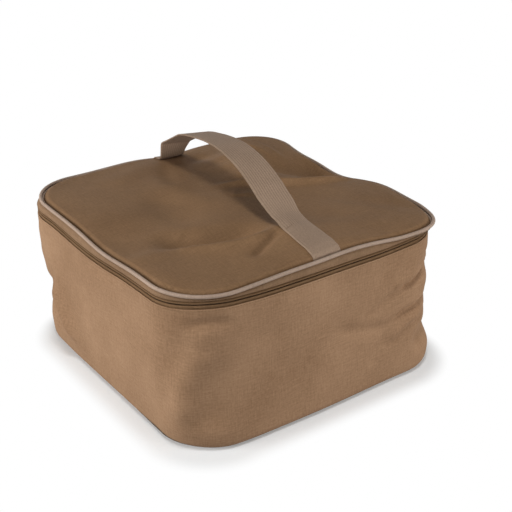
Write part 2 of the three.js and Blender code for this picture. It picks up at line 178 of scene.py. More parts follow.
# Folds of the walls: line of (s, z) points, rise, width, lean
wallFolds = [
    # near corner: dents under the zip, and the ridge that runs down from them
    ([(.426, .138), (.452, .141), (.484, .136)], -.0030, .0072, .0018),
    ([(.446, .124), (.458, .118), (.468, .108)], -.0014, .0080, .0004),
    ([(.474, .150), (.468, .116), (.486, .078), (.490, .045), (.484, .008)], .0044, .0170, -.0052),
    ([(.446, .110), (.450, .060), (.456, .012)], -.0022, .0160, 0),
    # front-left corner: the wall comes in to a crease, and the foot stands out below it
    ([(.850, .090), (.800, .066), (.768, .052), (.732, .022)], -.0105, .0125, .0040),
    ([(.790, .058), (.768, .064), (.744, .076), (.722, .090)], -.0052, .0110, .0010),
    ([(.756, .098), (.730, .068), (.708, .044), (.690, .012)], .0022, .0050, -.0042),
    ([(.744, .092), (.722, .062), (.702, .030), (.688, .004)], .0036, .0120, -.0058),
    ([(.762, .078), (.752, .044), (.742, .010)], -.0046, .0220, 0),
    ([(.760, .085), (.744, .060), (.728, .030), (.714, .004)], 0, .0190, -.0058),
    ([(.800, .150), (.800, .110), (.790, .080)], .0058, .0240, 0),
    ([(.800, .030), (.770, .008)], .0022, .0180, 0),
    # right-back corner: it leans in, with slanting folds that are pinched in at the outline
    ([(.158, .150), (.158, .100), (.158, .050), (.158, -.02)], -.0012, .0500, 0),
    ([(.126, .040), (.165, .037), (.206, .035)], -.0082, .0120, 0),
    ([(.130, .100), (.165, .101), (.195, .098)], .0022, .0100, 0),
    ([(.146, .112), (.164, .120), (.178, .118), (.194, .113)], -.0030, .0052, .0030),
    ([(.172, .121), (.190, .1135), (.206, .1095), (.224, .108)], -.0060, .0042, .0058),
    ([(.196, .120), (.214, .117), (.240, .113)], .0016, .0060, 0),
    ([(.150, .134), (.172, .131), (.200, .125)], -.0014, .0056, .0014),
    ([(.150, .080), (.165, .084), (.180, .082), (.198, .081), (.218, .080), (.240, .074)],
     -.0050, .0048, .0054),
    ([(.172, .074), (.190, .073), (.215, .062), (.244, .050)], .0026, .0060, 0),
    ([(.140, .062), (.178, .064), (.205, .064), (.232, .052), (.250, .040)], -.0024, .0046, .0018),
    ([(.222, .072), (.262, .078), (.312, .090)], -.0022, .0085, .0026),
    # right face
    ([(.206, .116), (.240, .104), (.276, .086)], -.0018, .0060, .0022),
    ([(.250, .120), (.300, .086), (.322, .050)], -.0014, .0180, .0006),
    ([(.232, .066), (.252, .050), (.266, .026)], -.0020, .0080, .0014),
    ([(.330, .128), (.372, .112), (.420, .118)], -.0012, .0110, .0005),
    # front face
    ([(.560, .118), (.620, .092), (.700, .104)], -.0009, .0200, .0004),
    ([(.600, .048), (.680, .034)], -.0008, .0180, 0),
    # left face and back
    ([(.880, .094), (.930, .062), (.955, .030)], -.0020, .0160, .0008),
    ([(1.010, .110), (1.060, .074), (1.092, .062)], -.0026, .0140, .0012),
    ([(1.090, .118), (1.112, .086), (1.105, .040)], -.0032, .0120, .0014),
    ([(1.180, .124), (1.230, .082), (1.250, .040)], -.0024, .0160, .0010),
    ([(.020, .140), (.034, .100), (.070, .060)], -.0026, .0150, -.0010),
    ([(.076, .130), (.100, .096), (.112, .050)], -.0020, .0130, .0008),
]
# Broad waves of the padded walls: turns round the bag, waves up the wall, size, phase
wallWaves = [(5, .7, .0007, .4), (9, .5, .0006, 2.1), (14, .9, .0004, 4.0), (23, 1.3, .00022, 1.2)]


def wallPush(s, z):     # outward movement of the wall at (s, z)
    upright = smooth(*sag["low"], z) * (1 - smooth(*sag["high"], z))
    face = np.cos(4 * math.pi * 2 * s / lap)     # 1 at the middle of a face, -1 at a corner
    height = np.clip(z / bag["wallTop"], 0, 1)
    push = sag["swell"] * face * np.sin(math.pi * height)
    for turns, rises, size, phase in wallWaves:
        push = push + size * np.sin(2 * math.pi * (turns * s / lap + rises * height) + phase)
    for line, rise, width, lean in wallFolds:
        push = push + stroke(s, z, line, rise, width, lean)
    zipOut, _, pipingOut, _ = edgeMove(s)
    share = smooth(bag["rimLow"], bag["rimTop"], z)
    uneven = 2.4 * np.sin(2 * math.pi * s / .083)
    pucker = sag["pucker"] * np.sin(2 * math.pi * s / sag["puckerPitch"] + uneven)
    pucker = pucker * np.exp(-((z - sag["puckerAt"]) / sag["puckerSpread"]) ** 2)
    edge = zipOut * smooth(*sag["outwards"], z) * (1 - share) + pipingOut * share
    return push * upright + pucker + edge + footMove(s, z)


def place(s, out, z):     # the point of the real, sagging bag for a point of the plain one
    s, out, z = np.broadcast_arrays(s, out, z)
    x, y, nx, ny = outlineAt(s, out)
    push = wallPush(s, z)
    _, zipUp, _, pipingUp = edgeMove(s)
    share = smooth(bag["rimLow"], bag["rimTop"], z)
    lift = zipUp * smooth(*sag["lifted"], z) * (1 - share) + pipingUp * share
    return np.stack([x + nx * push, y + ny * push, z + lift], -1)


lidShape = {
    "edge": -.0032,      # where the lid cloth ends, from the wall face
    "crown": .0030,      # how far the padding lifts the lid out of its seam
    "crownFrom": .974,
    "dome": .0042,       # and how far it swells towards the middle
    "foldsEnd": .90,     # folds and ripples die out from here to the edge
    "pulled": .30, "pullPower": 1.3,     # the moves of the edge die out towards here
}
# Ridges and hollows of the lid: line of (x, y) points, rise, width, lean
lidFolds = [
    # the crease that runs from the back edge to the middle, and the hollow on its left
    ([(.020, .176), (.016, .142), (.013, .110), (.006, .082), (-.007, .058), (-.019, .038), (-.031, .014),
      (-.046, -.008)], .0056, .0070, .0066),
    ([(-.026, .180), (-.036, .140), (-.052, .110), (-.080, .080)], -.0125, .0280, 0),
    ([(-.130, .046), (-.060, .056), (-.014, .054)], .0076, .0300, 0),
    ([(-.128, .128), (-.120, .100)], .0040, .0360, 0),
    # creases drawn out of the handle's right foot
    ([(.099, -.006), (.099, -.045), (.092, -.076), (.074, -.106), (.058, -.124)], .0034, .0090, .0064),
    ([(.083, -.014), (.080, -.050), (.070, -.082), (.052, -.106), (.020, -.112)], -.0092, .0165, 0),
    ([(.105, -.012), (.117, -.040), (.132, -.070)], -.0044, .0070, .0030),
    ([(.112, -.020), (.108, -.060), (.094, -.104)], .0016, .0100, 0),
    ([(.070, -.112), (.060, -.138), (.055, -.172)], .0010, .0150, .0018),
    ([(.030, -.020), (-.040, -.046), (-.110, -.040)], .0022, .0200, -.0010),
    ([(.050, -.078), (-.010, -.078), (-.070, -.064)], -.0026, .0200, .0006),
    ([(.118, .010), (.128, .060), (.150, .110)], .0018, .0160, .0008),
    ([(.060, .150), (.090, .070), (.100, .035)], .0020, .0300, 0),
    # and out of its left foot
    ([(-.142, -.004), (-.100, -.022), (-.056, -.036)], -.0024, .0110, .0010),
    ([(-.146, .000), (-.128, -.060), (-.120, -.110)], .0016, .0180, .0008),
    ([(-.140, .030), (-.110, .044), (-.070, .040)], -.0024, .0120, 0),
]
# Where the padding lifts it more: place round the edge, spread, height
lidPuffs = [(-.100, .150, .0016), (.060, .060, .0012), (1.020, .120, .0010)]
# Where the handle draws the lid up: x, y, height, spread along x, spread along y
lidTents = [(.110, -.005, .0112, .032, .030), (-.150, .008, .0012, .020, .028)]
# Faint ripples: size, waves along x and y, phase
lidRipples = [(.0006, 41, 23, .6), (.0005, 29, -57, 2)]


def lidHeight(x, y):
    height = np.zeros(np.shape(x))
    for line, rise, width, lean in lidFolds:
        height = height + stroke(x, y, line, rise, width, lean, wraps=False)
    for tx, ty, rise, wide, deep in lidTents:
        height = height + rise / (1 + ((x - tx) / wide) ** 2 + ((y - ty) / deep) ** 2) ** 1.2
    for size, alongX, alongY, phase in lidRipples:
        height = height + size * np.sin(x * alongX + y * alongY + phase)
    return height


def lidPlace(x, y, m, s, edge, z):     # m is 0 in the middle of a sheet and 1 at its edge
    m = m * (bag["half"] + edge) / (bag["half"] + lidShape["edge"])
    _, _, nx, ny = outlineAt(s, 0)
    _, _, out, up = edgeMove(s)
    pull = smooth(lidShape["pulled"], 1, m) ** lidShape["pullPower"]
    crown = (lidShape["crown"] + bells(s, lidPuffs)) * (1 - smooth(lidShape["crownFrom"], 1, m))
    dome = lidShape["dome"] * (1 - m ** 2)
    folds = lidHeight(x, y) * (1 - smooth(lidShape["foldsEnd"], 1, m))
    level = z + up * pull + crown + dome + folds
    return np.stack([x + nx * out * pull, y + ny * out * pull, level], -1)


def addObject(name, data):
    made = bpy.data.objects.new(name, data)
    bpy.context.scene.collection.objects.link(made)
    return made


def newPiece(name, bm):
    mesh = bpy.data.meshes.new(name)
    bm.to_mesh(mesh)
    bm.free()
    mesh.polygons.foreach_set("use_smooth", [True] * len(mesh.polygons))
    return addObject(name, mesh)


def weld(piece, capped=False):
    bm = bmesh.new()
    bm.from_mesh(piece.data)
    bmesh.ops.remove_doubles(bm, verts=bm.verts, dist=1e-6)
    if capped:
        bmesh.ops.holes_fill(bm, edges=[e for e in bm.edges if e.is_boundary], sides=0)
    bmesh.ops.recalc_face_normals(bm, faces=bm.faces)
    for face in bm.faces:
        face.smooth = True
    bm.to_mesh(piece.data)
    bm.free()


def bentGrid(name, points, uv):
    # a grid with one row of vertices for each row of points, bent to them; uv is the cloth laid flat
    rows, cols = points.shape[:2]
    bm = bmesh.new()
    bmesh.ops.create_grid(bm, x_segments=cols - 1, y_segments=rows - 1, size=1)
    piece = newPiece(name, bm)
    mesh = piece.data
    mesh.vertices.foreach_set("co", points.astype(np.float32).ravel())
    corners = np.empty(len(mesh.loops), np.int32)
    mesh.loops.foreach_get("vertex_index", corners)
    layer = mesh.uv_layers.new(name="cloth")
    layer.data.foreach_set("uv", uv.reshape(-1, 2)[corners].astype(np.float32).ravel())
    mesh.update()
    return piece


def thickLine(line, thickness, ends=3):
    # a section line of (out, z) points given its thickness, with rounded ends, as a closed loop
    line = np.array(line, float)
    along = np.gradient(line, axis=0)
    along /= np.maximum(np.linalg.norm(along, axis=1)[:, None], 1e-9)
    normal = np.stack([along[:, 1], -along[:, 0]], 1) * thickness / 2
    turns = np.linspace(-math.pi / 2, math.pi / 2, ends + 2)[1:-1]
    def cap(at, ahead, across):
        return [at + ahead * math.cos(t) * thickness / 2 - across * math.sin(t) for t in turns]
    loop = [*(line + normal), *cap(line[-1], along[-1], normal[-1]),
            *(line - normal)[::-1], *cap(line[0], -along[0], -normal[0])]
    return np.array([*loop, loop[0]])


def refine(line, step):     # the same line with points no further apart than step
    line = np.array(line, float)
    made = [line[0]]
    for a, b in zip(line[:-1], line[1:]):
        count = max(1, math.ceil(np.linalg.norm(b - a) / step))
        made += [a + (b - a) * i / count for i in range(1, count + 1)]
    return np.array(made)


def lengthAlong(line):
    return np.concatenate([[0], np.cumsum(np.linalg.norm(np.diff(line, axis=0), axis=1))])


def sweep(name, loop, s, ring=False):
    # carries a closed section round the bag: s is the list of places, a whole lap for a ring
    loop = np.array(loop)
    s = np.array(s)
    points = place(s[None, :], loop[:, 0, None], loop[:, 1, None])
    uv = np.stack(np.broadcast_arrays(s[None, :], lengthAlong(loop)[:, None]), -1)
    piece = bentGrid(name, points, uv)
    weld(piece, capped=not ring)
    return piece


def lapPlaces(step):
    return np.linspace(0, lap, round(lap / step) + 1)


def zipPlaces(step, short=0.):     # round the bag, from one side of the back panel to the other
    length = lap - 2 * bag["hinge"] + 2 * short
    return np.linspace(bag["hinge"] - short, lap - bag["hinge"] + short, round(length / step) + 1)


def roundGrid(edge, count):
    # a square grid eased out to the bag's outline; edge is measured outwards from the wall face
    u, v = np.meshgrid(np.linspace(-1, 1, count), np.linspace(-1, 1, count))
    m = np.maximum(np.abs(u), np.abs(v))
    safe = np.maximum(m, 1e-9)
    q = np.select(
        [(v >= m) & (u >= 0), u >= m, v <= -m, u <= -m],
        [u / safe, 2 - v / safe, 4 - u / safe, 6 + v / safe],
        8 + u / safe,
    )
    s = q / 8 * lap
    ox, oy, _, _ = outlineAt(s, edge)
    side = bag["half"] + edge
    w = smooth(.35, 1, m)
    return u * side * (1 - w) + ox * m * w, v * side * (1 - w) + oy * m * w, m, s


def thicken(piece, thickness):     # inwards from the sheet as drawn
    solid = piece.modifiers.new("thickness", "SOLIDIFY")
    solid.thickness = thickness
    solid.offset = -1


def stitches(name, path, up, pitch=.0032, length=.0022, width=.00042):
    # a row of short threads along a dense path of points; up is the direction off the cloth
    far = lengthAlong(path)
    bm = bmesh.new()
    for i in range(int(far[-1] / pitch)):
        at = (i + .5) * pitch
        centre = Vector([np.interp(at, far, path[:, k]) for k in range(3)])
        ahead = Vector([np.interp(at + 5e-4, far, path[:, k]) for k in range(3)]) - centre
        if ahead.length < 1e-6:
            continue
        lift = Vector([np.interp(at, far, up[:, k]) for k in range(3)])
        ahead.normalize()
        across = lift.cross(ahead).normalized()
        lift = ahead.cross(across)
        turn = Matrix((across, lift, ahead)).transposed().to_4x4()
        size = Matrix.Diagonal((width / 2, width / 2.6, length / 2, 1))
        bmesh.ops.create_uvsphere(
            bm, u_segments=6, v_segments=5, radius=1, matrix=Matrix.Translation(centre) @ turn @ size,
        )
    return newPiece(name, bm)


def wallStitches(name, s, out, z):
    path = place(s, out, z)
    _, _, nx, ny = outlineAt(s, 0)
    return stitches(name, path, np.stack([nx, ny, nx * 0], -1))


def dress(piece, body, material, slot, *nodes):
    piece.data.materials.clear()
    piece.data.materials.append(material)
    if body:
        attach(piece, body)
    if nodes:
        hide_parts(*nodes)
    return piece


def linear(colour):     # 0-255 screen values to the shader's linear ones
    return [((c / 255 + .055) / 1.055) ** 2.4 if c > 10 else c / 255 / 12.92 for c in colour]


def startMaterial(name, roughness, specular, sheen, metallic=0.):
    material = bpy.data.materials.new(name)
    material.use_nodes = True
    shader = material.node_tree.nodes["Principled BSDF"]
    shader.inputs["Roughness"].default_value = roughness
    shader.inputs["Specular IOR Level"].default_value = specular
    shader.inputs["Sheen Weight"].default_value = sheen
    shader.inputs["Sheen Roughness"].default_value = .45
    shader.inputs["Metallic"].default_value = metallic
    return material, material.node_tree, shader


def addNode(tree, kind, inputs=(), **settings):
    made = tree.nodes.new(kind)
    for key, value in settings.items():
        setattr(made, key, value)
    for key, value in dict(inputs).items():
        if isinstance(value, bpy.types.NodeSocket):
            tree.links.new(value, made.inputs[key])
        else:
            made.inputs[key].default_value = value
    return made


def mathNode(tree, operation, *values):
    return addNode(tree, "ShaderNodeMath", dict(enumerate(values)), operation=operation).outputs[0]


def clothCoords(tree, byObject):
    if byObject:
        return addNode(tree, "ShaderNodeTexCoord").outputs["Object"]
    return addNode(tree, "ShaderNodeUVMap", uv_map="cloth").outputs[0]


def noiseOn(tree, coords, scale, detail=2., stretch=(1, 1, 1)):
    moved = addNode(tree, "ShaderNodeMapping", {"Vector": coords, "Scale": stretch}).outputs[0]
    inputs = {"Vector": moved, "Scale": scale, "Detail": detail}
    return addNode(tree, "ShaderNodeTexNoise", inputs).outputs[0]


def bandsOn(tree, coords, pitch, axis):     # sine bands with the given spacing
    return addNode(
        tree, "ShaderNodeTexWave", {"Vector": coords, "Scale": math.pi / 10 / pitch},
        wave_type="BANDS", bands_direction=axis,
    ).outputs["Fac"]


def tintAndEmboss(tree, shader, mix, dark, light, height, relief, distance):
    ramp = addNode(tree, "ShaderNodeValToRGB", {"Fac": mix})
    for stop, colour in zip(ramp.color_ramp.elements, (dark, light)):
        stop.color = (*linear(colour), 1)
    tree.links.new(ramp.outputs[0], shader.inputs["Base Color"])
    bump = addNode(tree, "ShaderNodeBump", {"Height": height, "Strength": relief, "Distance": distance})
    tree.links.new(bump.outputs[0], shader.inputs["Normal"])


def weaveMaterial(name, dark, light, roughness, pitch=.0007, relief=.35):
    # plain weave: raised dots where the threads cross, uneven threads both ways, faint cloudy wear
    material, tree, shader = startMaterial(name, roughness, .10, .02)
    coords = clothCoords(tree, False)
    warp, weft = bandsOn(tree, coords, pitch, "X"), bandsOn(tree, coords, pitch, "Y")
    dots = mathNode(tree, "MULTIPLY", warp, weft)
    along = noiseOn(tree, coords, 60, 2, (1, 14, 1))
    across = noiseOn(tree, coords, 60, 2, (14, 1, 1))
    cloud = noiseOn(tree, coords, 11, 3)
    fine = noiseOn(tree, coords, 420, 1)
    mix = mathNode(tree, "MULTIPLY_ADD", along, .55, -.05)
    mix = mathNode(tree, "MULTIPLY_ADD", across, .55, mix)
    mix = mathNode(tree, "MULTIPLY_ADD", cloud, .9, mathNode(tree, "SUBTRACT", mix, .45))
    mix = mathNode(tree, "MULTIPLY_ADD", fine, .5, mathNode(tree, "SUBTRACT", mix, .25))
    mix = mathNode(tree, "MULTIPLY_ADD", dots, .35, mathNode(tree, "SUBTRACT", mix, .09))
    height = mathNode(tree, "ADD", dots, mathNode(tree, "MULTIPLY", fine, .8))
    tintAndEmboss(tree, shader, mix, dark, light, height, relief, .0002)
    return material


def webbingMaterial(name, dark, light, ribPitch, sewn):
    # heavy webbing: painted shade darkens the furrows between the lengthwise ribs, and a slanting twill
    # runs in each rib;
    # on the sewn stretch the cloth is drawn tight, so the ribs and their painted shade fade and the grain
    # is coarser
    material, tree, shader = startMaterial(name, .62, .12, .03)
    coords = clothCoords(tree, False)
    furrowShade = bandsOn(tree, coords, ribPitch, "Y")
    along = addNode(tree, "ShaderNodeSeparateXYZ", {0: coords}).outputs["X"]
    loose = addNode(
        tree, "ShaderNodeMapRange", {"Value": along, "From Min": sewn - .003, "From Max": sewn + .003},
    ).outputs[0]
    slant = addNode(tree, "ShaderNodeMapping", {"Vector": coords, "Rotation": (0, 0, .9)}).outputs[0]
    twill = bandsOn(tree, slant, .0009, "X")
    pick = bandsOn(tree, coords, .0011, "X")
    fine = noiseOn(tree, coords, 500, 1)
    cloud = noiseOn(tree, coords, 18, 2)
    # painted shade in the furrows between the ribs, faded out on the sewn stretch
    mix = mathNode(tree, "MULTIPLY_ADD", mathNode(tree, "MULTIPLY", furrowShade, loose), .28, .18)
    mix = mathNode(tree, "MULTIPLY_ADD", twill, .30, mix)
    tight = mathNode(tree, "SUBTRACT", 1., loose)
    coarse = mathNode(tree, "MULTIPLY", noiseOn(tree, coords, 900, 1), tight)
    mix = mathNode(tree, "MULTIPLY_ADD", coarse, .35, mix)
    mix = mathNode(tree, "MULTIPLY_ADD", cloud, .4, mathNode(tree, "SUBTRACT", mix, .2))
    mix = mathNode(tree, "MULTIPLY_ADD", fine, .4, mathNode(tree, "SUBTRACT", mix, .2))
    height = mathNode(tree, "MULTIPLY_ADD", twill, .7, mathNode(tree, "MULTIPLY", pick, .5))
    tintAndEmboss(tree, shader, mix, dark, light, height, .5, .0003)
    return material


def plainMaterial(name, dark, light, roughness, scale, relief=.1, metallic=0., specular=.4):
    # one finish with a soft change of tone and a fine grain: foam, board, cord, metal
    material, tree, shader = startMaterial(name, roughness, specular, 0, metallic)
    coords = clothCoords(tree, True)
    grain = noiseOn(tree, coords, scale, 3)
    cloud = noiseOn(tree, coords, scale / 14, 2)
    mix = mathNode(tree, "MULTIPLY_ADD", grain, .6, mathNode(tree, "MULTIPLY_ADD", cloud, .8, -.2))
    tintAndEmboss(tree, shader, mix, dark, light, grain, relief, .0003)
    return material


wallCloth = weaveMaterial("bagCloth", (124, 94, 68), (172, 138, 108), .72)
# the lid's cloth: the wall's cloth darkened, as painted shade for the upward-facing lid, which the lamps
# light less than the walls
shadedLidCloth = weaveMaterial("shadedLidCloth", (105, 78, 53), (147, 115, 84), .66)
pipingCloth = weaveMaterial("pipingCloth", (142, 121, 106), (182, 160, 143), .60, pitch=.0006, relief=.25)
# the rim's cloth: the wall's cloth darkened, as painted shade for the shadow under the piping's overhang
shadedRimCloth = weaveMaterial("shadedRimCloth", (110, 84, 61), (154, 124, 96), .74)
# the zip tape: its own tone a little darker than the cloth, darkened further as painted shade for the
# groove it lies in
tapeCloth = weaveMaterial("zipTapeCloth", (96, 72, 49), (138, 108, 79), .9, pitch=.0009, relief=.6)
liningCloth = weaveMaterial("liningCloth", (62, 53, 43), (86, 75, 62), .68, pitch=.0005)
webbing = webbingMaterial("handleWebbing", (108, 87, 70), (182, 157, 135), .033 / 13, sewn=.0507)
coilPlastic = plainMaterial("zipCoilNylon", (52, 36, 24), (74, 54, 37), .55, 300, specular=.15)
threadFinish = plainMaterial("sewingThread", (100, 76, 54), (142, 113, 86), .7, 900, specular=.12)
foamFinish = plainMaterial("wallFoam", (206, 201, 192), (226, 222, 214), .95, 700, relief=.6)
boardFinish = plainMaterial("baseBoardPlastic", (34, 34, 36), (52, 52, 54), .5, 260)
cordFinish = plainMaterial("pipingCordCotton", (196, 188, 174), (224, 217, 204), .9, 500, relief=.5)
metalFinish = plainMaterial("sliderMetal", (66, 56, 46), (96, 83, 68), .34, 420, relief=.08, metallic=.85)
print("materials made")


wall = {"step": .0028, "rise": .0020, "turns": 8, "stitchDrop": .0017}


def wallLine(top, step):     # down the wall and round under it, as (out, z) points
    level = bag["foot"] + bag["roll"]
    radius = bag["roll"] - halfCloth
    upright = refine([(-halfCloth, top), (-halfCloth, level)], step)
    turns = np.linspace(0, math.pi / 2, wall["turns"])
    under = [(radius * math.cos(t) - bag["roll"], level - radius * math.sin(t)) for t in turns]
    return [*upright[:-1], *under]


hinge = bag["hinge"]
sideGap = .00015     # between the back panel and the strip of wall beside it
wallEdge = thickLine(wallLine(bag["wallTop"] - halfCloth, wall["rise"]), bag["cloth"], 4)
wallPiece = sweep("wallCloth", wallEdge, zipPlaces(wall["step"], -sideGap))
dress(wallPiece, "bag", wallCloth, "cloth", "wall_cloth")
seam = {"sampled": .002, "short": -.004, "proud": .00004}     # rows of stitches beside the zip
seamPlaces = zipPlaces(seam["sampled"], seam["short"])
wallSeam = wallStitches("wallTopStitch", seamPlaces, seam["proud"], bag["wallTop"] - wall["stitchDrop"])
dress(wallSeam, "bag", threadFinish, "cloth")

back = {
    "columns": 67, "rise": .0028, "wallTop": .1472,
    "foldEnds": .1500, "foldRise": .0009, "foldFrom": .1552, "foldTo": .1612,
}
backS = np.linspace(-hinge + sideGap, hinge - sideGap, back["columns"])
backTop = bag["rimTop"] - halfCloth
backLine = np.concatenate([
    [(-.0088, backTop), (-.0060, backTop), (-.0030, backTop), (-.0013, backTop - .00015),
     (-halfCloth, backTop - .00095)],
    refine([(-halfCloth, backTop - .00215), (-halfCloth, back["foldEnds"])], back["foldRise"]),
    wallLine(back["wallTop"], back["rise"]),
])
backPiece = sweep("backCloth", thickLine(backLine, bag["cloth"], 3), backS)
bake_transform(backPiece)
dress(backPiece, None, wallCloth, "cloth", "back_cloth", "lid_fold_cloth")

base = {
    "count": 71, "edge": -.0093, "thickness": .00055, "curl": .00035, "curlFrom": .965,
    "liningCount": 61, "liningEdge": -.0053, "liningLevel": .0041, "lining": .0005, "ripple": .00045,
}
x, y, m, s = roundGrid(base["edge"], base["count"])
_, _, nx, ny = outlineAt(s, 0)
moved = footMove(s, 0) * m
z = base["thickness"] + base["curl"] * smooth(base["curlFrom"], 1, m)
basePiece = bentGrid("baseCloth", np.stack([x + nx * moved, y + ny * moved, z], -1), np.stack([x, y], -1))
thicken(basePiece, base["thickness"])
dress(basePiece, "bag", wallCloth, "cloth", "base_cloth")
print("walls and base made")


padding = {
    "low": .0065, "high": .1522, "outer": -.0022, "inner": -.0048, "round": .0014,
    "step": .0030, "rise": .0021, "lining": .0005,
}
middle = (padding["outer"] + padding["inner"]) / 2
foamEnds = [(middle, padding["low"] + padding["round"]), (middle, padding["high"] - padding["round"])]
foamLoop = thickLine(refine(foamEnds, padding["rise"]), padding["outer"] - padding["inner"], 5)
wallFoam = sweep("wallFoam", foamLoop, lapPlaces(padding["step"]), ring=True)
dress(wallFoam, "bag", foamFinish, "foam", "wall_foam")

liningLine = [
    *refine([(-.0054, .0047), (-.0054, .1502)], padding["rise"]),
    (-.0053, .1514), (-.0049, .1524), (-.0042, .1530), (-.0030, .1533), (-.0022, .1534),
]
liningLoop = thickLine(liningLine, padding["lining"], 2)
wallLining = sweep("wallLining", liningLoop, lapPlaces(padding["step"]), ring=True)
dress(wallLining, "bag", liningCloth, "lining", "wall_lining")

x, y, m, s = roundGrid(base["liningEdge"], base["liningCount"])
ripple = base["ripple"] * np.sin(x * 52 + y * 31) * np.sin(y * 44 - x * 20) * (1 - smooth(.9, 1, m))
z = base["liningLevel"] + np.abs(ripple)
baseLining = bentGrid("baseLining", np.stack([x, y, z], -1), np.stack([x, y], -1))
thicken(baseLining, base["lining"])
dress(baseLining, "bag", liningCloth, "lining", "base_lining")

binding = {
    "out": -.0071, "low": .0047, "high": .0109, "tape": .0005, "fold": .00085, "step": .005,
    "stitchLevel": .0066, "stitchOff": .00028,
}
bindingHalf = [(1, binding["low"]), (1, binding["high"] - .0014), (.7, binding["high"] - .0006)]
bindingFolded = [(-across, level) for across, level in bindingHalf[::-1]]
bindingLine = [
    (binding["out"] + binding["fold"] * across, level)
    for across, level in [*bindingHalf, (0, binding["high"] - .0003), *bindingFolded]
]
bindingLoop = thickLine(bindingLine, binding["tape"], 2)
bindingPiece = sweep("baseSeamBinding", bindingLoop, lapPlaces(binding["step"]), ring=True)
dress(bindingPiece, "bag", pipingCloth, "piping", "base_seam_binding")
stitchOut = binding["out"] - binding["fold"] - binding["stitchOff"]
bindingSeam = wallStitches("bindingStitch", lapPlaces(seam["sampled"]), stitchOut, binding["stitchLevel"])
dress(bindingSeam, "bag", threadFinish, "cloth")
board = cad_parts["base_board"]
board.data.materials.clear()
board.data.materials.append(boardFinish)
print("padding and lining made")


zipper = {
    "tape": .0005, "tapeOut": -.00125, "parting": .0006, "belowParting": .0108, "aboveParting": .0050,
    "step": .0036, "rise": .0012, "past": .0045, "coilPitch": .0013, "wire": .00036,
}
zipSides = ((-1, "Lower", "bag"), (1, "Upper", "lid"))


def tapeLine(side):     # the tape is puffed over the coil beside the parting
    profile = [
        (-.00160, .0001), (-.00090, .0005), (-.00055, .0009), (-.00055, .0014), (-.00110, .0018),
        (-.00225, .0022), (-.00285, .0028), (-.00255, .0034), (-.00170, .0039), (zipper["tapeOut"], .0043),
    ]
    puffed = [(out, zipper["parting"] + up) for out, up in profile]
    far = (zipper["tapeOut"], zipper["belowParting"] if side < 0 else zipper["aboveParting"])
    return [(out, bag["zip"] + side * up) for out, up in [*puffed, far]]


for side, name, body in zipSides:
    tapeEdge = thickLine(refine(tapeLine(side), zipper["rise"]), zipper["tape"], 2)
    tape = sweep("zipTape" + name, tapeEdge, zipPlaces(zipper["step"], zipper["past"]))
    dress(tape, body, tapeCloth, "tape", "zip_tape_" + name.lower())

rim = {
    "hem": bag["rimLow"] + halfCloth, "top": bag["rimTop"] - halfCloth,
    "step": .0031, "rise": .0011, "stitchUp": .0014,
}
rimLine = [
    *refine([(-halfCloth, rim["hem"]), (-halfCloth, rim["top"] - .0026)], rim["rise"]),
    (-.0008, rim["top"] - .0014), (-.0016, rim["top"] - .0005),
    (-.0028, rim["top"]), (-.0055, rim["top"]), (-.0088, rim["top"]),
]
rimPiece = sweep("lidRimCloth", thickLine(rimLine, bag["cloth"], 4), zipPlaces(rim["step"], -sideGap))
dress(rimPiece, "lid", shadedRimCloth, "cloth", "lid_rim_cloth")
rimSeam = wallStitches("rimStitch", seamPlaces, seam["proud"], bag["rimLow"] + rim["stitchUp"])
dress(rimSeam, "lid", threadFinish, "cloth")


def coilPath(side):     # one thread of nylon wound along the tape's edge, with a head at the parting
    turn = [(0, -.0036, .0019), (.10, -.0036, .0004), (.22, -.0029, -.00035), (.36, -.0024, .0003),
            (.50, -.0024, .0019), (.75, -.0030, .0021)]
    start, stop = hinge - zipper["past"], lap - hinge + zipper["past"]
    shift = .5 if side > 0 else 0
    s, out, up = [], [], []
    for i in range(int((stop - start) / zipper["coilPitch"]) - 1):
        for share, o, u in turn:
            s.append(start + (i + share + shift) * zipper["coilPitch"])
            out.append(o)
            up.append(bag["zip"] + side * (zipper["parting"] + u))
    return place(np.array(s), np.array(out), np.array(up))


for side, name, body in zipSides:
    path = coilPath(side)
    line = bpy.data.curves.new("coilLine", "CURVE")
    line.dimensions = "3D"
    line.bevel_depth = zipper["wire"]
    line.bevel_resolution = 0
    line.use_fill_caps = True
    spline = line.splines.new("POLY")
    spline.points.add(len(path) - 1)
    weighted = np.concatenate([path, np.ones((len(path), 1))], 1)
    spline.points.foreach_set("co", weighted.astype(np.float32).ravel())
    drawn = addObject("coilLine", line)
    mesh = bpy.data.meshes.new_from_object(drawn.evaluated_get(bpy.context.evaluated_depsgraph_get()))
    bpy.data.objects.remove(drawn)
    mesh.name = "zipCoil" + name
    coil = addObject("zipCoil" + name, mesh)
    weld(coil)
    dress(coil, body, coilPlastic, "coil", "zip_coil_" + name.lower())
print("zip made")


lid = {
    "count": 151, "under": 121, "fold": .0018, "foldFrom": .982, "foldTo": .998,
    "foamEdge": -.0091, "foamTop": .1692, "foam": .0023, "foamRound": .0009,
    "liningEdge": -.0022, "liningTop": .1661, "liningDrop": .0006, "dropFrom": .94, "lining": .0005,
}
x, y, m, s = roundGrid(lidShape["edge"], lid["count"])
z = bag["lidTop"] - lid["fold"] * smooth(lid["foldFrom"], lid["foldTo"], m)
lidPiece = bentGrid("lidCloth", lidPlace(x, y, m, s, lidShape["edge"], z), np.stack([x, y], -1))
thicken(lidPiece, bag["cloth"])
dress(lidPiece, "lid", shadedLidCloth, "lid_cloth", "lid_cloth")

x, y, m, s = roundGrid(lid["foamEdge"], lid["under"])
points = lidPlace(x, y, m, s, lid["foamEdge"], lid["foamTop"])
lidFoam = bentGrid("lidFoam", points, np.stack([x, y], -1))
thicken(lidFoam, lid["foam"])
rounded = lidFoam.modifiers.new("softEdge", "BEVEL")
rounded.width = lid["foamRound"]
rounded.segments = 2
rounded.limit_method = "ANGLE"
dress(lidFoam, "lid", foamFinish, "foam", "lid_foam")

